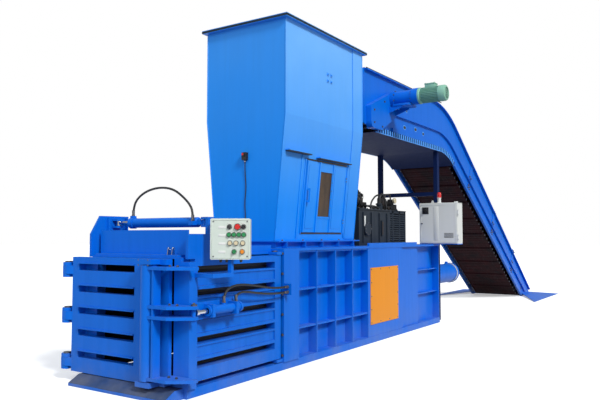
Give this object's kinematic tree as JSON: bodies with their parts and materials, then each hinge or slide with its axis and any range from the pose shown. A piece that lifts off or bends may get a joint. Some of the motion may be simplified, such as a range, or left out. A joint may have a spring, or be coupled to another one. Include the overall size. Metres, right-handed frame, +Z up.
{
  "type": "recycling baler",
  "caption": "Horizontal baler that presses loose recyclable waste into bales, fed through a tall hopper by an inclined apron conveyor.",
  "frame": {"origin": "on the floor under the middle of the feed opening, at the underside of the cross member there", "axes": "+X from the bale door towards the conveyor's tail, -Y towards the operator's side, +Z up"},
  "size_m": [13.94, 2.92, 4.27],
  "materials": {
    "body_blue": "satin blue paint, scuffed",
    "wall_blue": "satin blue paint, scuffed at the slats",
    "hopper_blue": "satin blue paint on sheet",
    "cover_orange": "satin orange paint",
    "pin_steel": "machined steel",
    "rod_chrome": "hard chrome",
    "window_brown": "smoked polycarbonate",
    "black_plastic": "black plastic",
    "hose_rubber": "black rubber",
    "belt_steel": "dark worn steel slats",
    "motor_green": "grey-green enamel",
    "pack_slate": "dark slate paint",
    "valve_steel": "phosphated steel",
    "cabinet_grey": "light grey powder coat",
    "beacon_red": "red lens",
    "box_grey": "pale grey-green plastic",
    "red_plastic": "red plastic",
    "green_plastic": "green plastic",
    "beige_plastic": "beige plastic",
    "amber_plastic": "amber plastic"
  },
  "bodies": {
    "frame": {"base_frame": "body_blue", "near_side": "body_blue", "far_side": "body_blue", "roof_plate": "body_blue", "neck_frame": "body_blue", "chamber_roof": "body_blue", "front_frame": "body_blue", "lock_cylinder": "body_blue", "main_cylinder": "body_blue", "conveyor_near": "body_blue", "conveyor_far": "body_blue", "conveyor_frame": "body_blue", "head_casing": "body_blue", "loading_wings": "body_blue", "chain_guard": "body_blue", "reducer": "body_blue", "box_arm": "body_blue", "hopper": "hopper_blue", "cover_panel": "cover_orange", "hinge_pins": "pin_steel", "photo_eye": "black_plastic", "eye_cable": "hose_rubber", "fixed_hoses": "hose_rubber", "apron_belt": "belt_steel", "drive_motor": "motor_green", "oil_tank": "pack_slate", "pump_motor": "pack_slate", "valve_block": "valve_steel", "cabinet": "cabinet_grey", "beacon": "beacon_red", "control_box": "box_grey"},
    "near_wall": {"near_wall": "wall_blue"},
    "far_wall": {"far_wall": "wall_blue"},
    "squeeze_barrel": {"squeeze_barrel": "body_blue", "squeeze_hose": "hose_rubber"},
    "squeeze_rod": {"squeeze_rod": "rod_chrome"},
    "door": {"door": "body_blue"},
    "lock_shaft": {"lock_shaft": "body_blue"},
    "lock_rod": {"lock_rod": "rod_chrome"},
    "ram": {"ram": "body_blue", "ram_rod": "rod_chrome"},
    "hopper_door": {"hopper_door": "hopper_blue", "sight_window": "window_brown"},
    "head_shaft": {"head_shaft": "pin_steel"},
    "tail_shaft": {"tail_shaft": "pin_steel"},
    "cabinet_door": {"cabinet_door": "cabinet_grey"},
    "main_switch": {"main_switch": "black_plastic"},
    "estop": {"estop": "red_plastic"},
    "black_selector": {"black_selector": "black_plastic"},
    "green_button_1": {"green_button_1": "green_plastic"},
    "green_button_2": {"green_button_2": "green_plastic"},
    "green_button_3": {"green_button_3": "green_plastic"},
    "green_button_4": {"green_button_4": "green_plastic"},
    "beige_button_1": {"beige_button_1": "beige_plastic"},
    "beige_button_2": {"beige_button_2": "beige_plastic"},
    "beige_button_3": {"beige_button_3": "beige_plastic"},
    "amber_knob": {"amber_knob": "amber_plastic"},
    "green_knob": {"green_knob": "green_plastic"}
  },
  "joints": [
    {"name": "door_hinge", "type": "hinge", "parent": "frame", "child": "door", "pos_m": [-2.862, 0.96, 0.7], "axis": [0, 0, -1], "range_deg": [0, 110]},
    {"name": "lock_turn", "type": "hinge", "parent": "door", "child": "lock_shaft", "pos_m": [-2.95, -0.37, 0.7], "axis": [0, 0, -1], "range_deg": [0, 30]},
    {"name": "lock_push", "type": "slide", "parent": "frame", "child": "lock_rod", "axis": [-1, 0, 0], "range_m": [0, 0.251]},
    {"name": "near_squeeze", "type": "hinge", "parent": "frame", "child": "near_wall", "pos_m": [-1.265, -0.657, 0.7], "axis": [0, 0, -1], "range_deg": [0, 1.5]},
    {"name": "far_squeeze", "type": "hinge", "parent": "frame", "child": "far_wall", "pos_m": [-1.265, 0.657, 0.7], "axis": [0, 0, 1], "range_deg": [0, 1.51]},
    {"name": "squeeze_swivel", "type": "hinge", "parent": "near_wall", "child": "squeeze_barrel", "pos_m": [-2.45, -0.64, 1.69], "axis": [0, 0, 1], "range_deg": [0, 1.51]},
    {"name": "squeeze_slide", "type": "slide", "parent": "squeeze_barrel", "child": "squeeze_rod", "axis": [0, -1, 0], "range_m": [0, 0.0625]},
    {"name": "ram_slide", "type": "slide", "parent": "frame", "child": "ram", "axis": [-1, 0, 0], "range_m": [0, 1.8]},
    {"name": "hopper_door_hinge", "type": "hinge", "parent": "frame", "child": "hopper_door", "pos_m": [0.63, -0.53693, 1.98576], "axis": [0, -0.102, 0.9948], "range_deg": [0, 100]},
    {"name": "head_turn", "type": "hinge", "parent": "frame", "child": "head_shaft", "pos_m": [1.345, 0, 3.405], "axis": [0, 1, 0], "continuous": true},
    {"name": "tail_turn", "type": "hinge", "parent": "frame", "child": "tail_shaft", "pos_m": [9.72, 0, 0.2], "axis": [0, 1, 0], "continuous": true},
    {"name": "cabinet_hinge", "type": "hinge", "parent": "frame", "child": "cabinet_door", "pos_m": [3.492, -1.184, 1.8], "axis": [0, 0, 1], "range_deg": [0, 100]},
    {"name": "switch_turn", "type": "hinge", "parent": "cabinet_door", "child": "main_switch", "pos_m": [3.47, -0.585, 2], "axis": [-1, 0, 0], "range_deg": [0, 90]},
    {"name": "estop_press", "type": "slide", "parent": "frame", "child": "estop", "axis": [0.8358, 0.549, 0], "range_m": [0, 0.006]},
    {"name": "black_selector_turn", "type": "hinge", "parent": "frame", "child": "black_selector", "pos_m": [-2.37518, -1.08282, 1.638], "axis": [0.8358, 0.549, 0], "range_deg": [-45, 45]},
    {"name": "green_button_1_press", "type": "slide", "parent": "frame", "child": "green_button_1", "axis": [0.8358, 0.549, 0], "range_m": [0, 0.006], "stiffness_N_per_m": 800},
    {"name": "green_button_2_press", "type": "slide", "parent": "frame", "child": "green_button_2", "axis": [0.8358, 0.549, 0], "range_m": [0, 0.006], "stiffness_N_per_m": 800},
    {"name": "green_button_3_press", "type": "slide", "parent": "frame", "child": "green_button_3", "axis": [0.8358, 0.549, 0], "range_m": [0, 0.006], "stiffness_N_per_m": 800},
    {"name": "green_button_4_press", "type": "slide", "parent": "frame", "child": "green_button_4", "axis": [0.8358, 0.549, 0], "range_m": [0, 0.006], "stiffness_N_per_m": 800},
    {"name": "beige_button_1_press", "type": "slide", "parent": "frame", "child": "beige_button_1", "axis": [0.8358, 0.549, 0], "range_m": [0, 0.006], "stiffness_N_per_m": 800},
    {"name": "beige_button_2_press", "type": "slide", "parent": "frame", "child": "beige_button_2", "axis": [0.8358, 0.549, 0], "range_m": [0, 0.006], "stiffness_N_per_m": 800},
    {"name": "beige_button_3_press", "type": "slide", "parent": "frame", "child": "beige_button_3", "axis": [0.8358, 0.549, 0], "range_m": [0, 0.006], "stiffness_N_per_m": 800},
    {"name": "amber_knob_turn", "type": "hinge", "parent": "frame", "child": "amber_knob", "pos_m": [-2.38176, -1.07279, 1.396], "axis": [0.8358, 0.549, 0], "range_deg": [-45, 45]},
    {"name": "green_knob_turn", "type": "hinge", "parent": "frame", "child": "green_knob", "pos_m": [-2.42459, -1.0076, 1.396], "axis": [0.8358, 0.549, 0], "range_deg": [-45, 45]}
  ],
  "couplings": [
    {"joint": "lock_push", "follows": "lock_turn", "m_per_rad": 0.4775},
    {"joint": "far_squeeze", "follows": "near_squeeze", "ratio": 1},
    {"joint": "squeeze_swivel", "follows": "near_squeeze", "ratio": 1},
    {"joint": "squeeze_slide", "follows": "near_squeeze", "m_per_rad": 2.3695},
    {"joint": "tail_turn", "follows": "head_turn", "ratio": 1.34}
  ]
}
